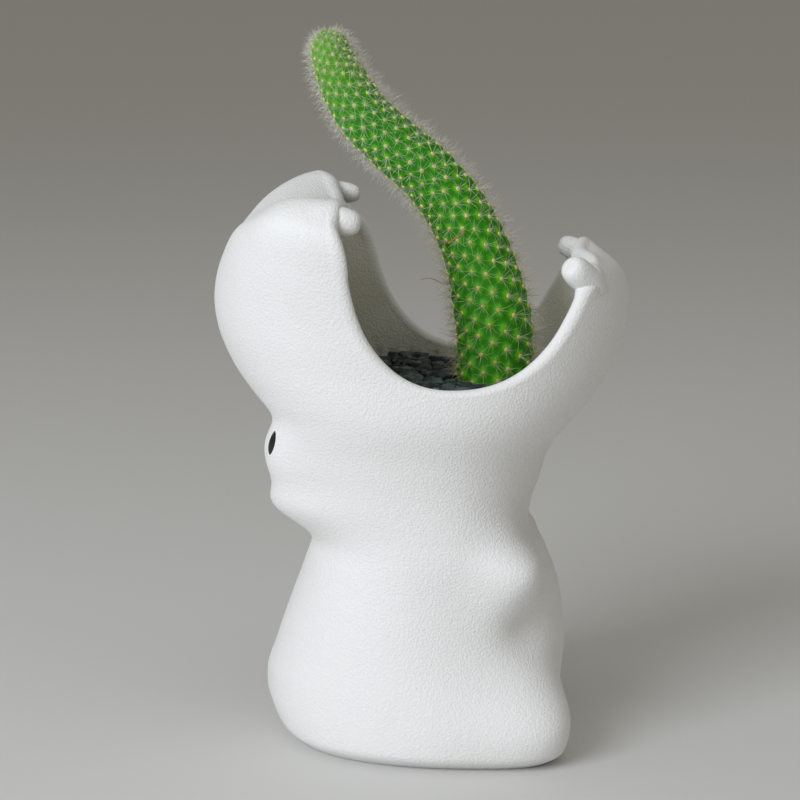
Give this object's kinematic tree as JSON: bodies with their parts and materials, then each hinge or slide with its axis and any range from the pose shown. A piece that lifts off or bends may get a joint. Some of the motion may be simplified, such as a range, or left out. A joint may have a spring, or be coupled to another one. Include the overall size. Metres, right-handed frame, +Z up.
{
  "type": "animal-shaped succulent pot",
  "caption": "Seated hippo-shaped white ceramic succulent pot, head thrown back and mouth open to the sky, planted with a bent columnar cactus in dark slate chips.",
  "frame": {"origin": "on the ground under the middle of the pot's outline, at the underside of its foot ring", "axes": "+Z up, +X from the animal's back to its front (the side of the lower jaw), +Y to its left"},
  "size_m": [0.1363, 0.1123, 0.235],
  "materials": {
    "ceramic": "matt white slip-cast ceramic with a fine sandy texture",
    "eye_glaze": "glossy black glaze",
    "netting": "dark moulded plastic netting",
    "gravel": "loose rounded gravel",
    "soil": "damp peaty potting soil",
    "roots": "fibrous roots bound with soil",
    "slate": "broken dark slate, matt",
    "cactus": "waxy green skin with pale spines"
  },
  "bodies": {
    "root": {"cactus_stem": "cactus", "drain_mesh": "netting", "drainage_gravel": "gravel", "eye_left": "eye_glaze", "eye_right": "eye_glaze", "lower_tooth_left": "ceramic", "lower_tooth_right": "ceramic", "pot_shell": "ceramic", "potting_soil": "soil", "root_ball": "roots", "slate_bed": "slate", "slate_chip_01": "slate", "slate_chip_02": "slate", "slate_chip_03": "slate", "slate_chip_04": "slate", "slate_chip_05": "slate", "slate_chip_06": "slate", "slate_chip_07": "slate", "slate_chip_08": "slate", "slate_chip_09": "slate", "slate_chip_10": "slate", "slate_chip_11": "slate", "slate_chip_12": "slate", "slate_chip_13": "slate", "slate_chip_14": "slate", "slate_chip_15": "slate", "slate_chip_16": "slate", "slate_chip_17": "slate", "slate_chip_18": "slate", "slate_chip_19": "slate", "slate_chip_20": "slate", "slate_chip_21": "slate", "slate_chip_22": "slate", "slate_chip_23": "slate", "slate_chip_24": "slate", "slate_chip_25": "slate", "slate_chip_26": "slate", "slate_chip_27": "slate", "slate_chip_28": "slate", "slate_chip_29": "slate", "slate_chip_30": "slate", "slate_chip_31": "slate", "slate_chip_32": "slate", "slate_chip_33": "slate", "slate_chip_34": "slate", "slate_chip_35": "slate", "slate_chip_36": "slate", "upper_tooth_left": "ceramic", "upper_tooth_right": "ceramic"}
  },
  "joints": []
}
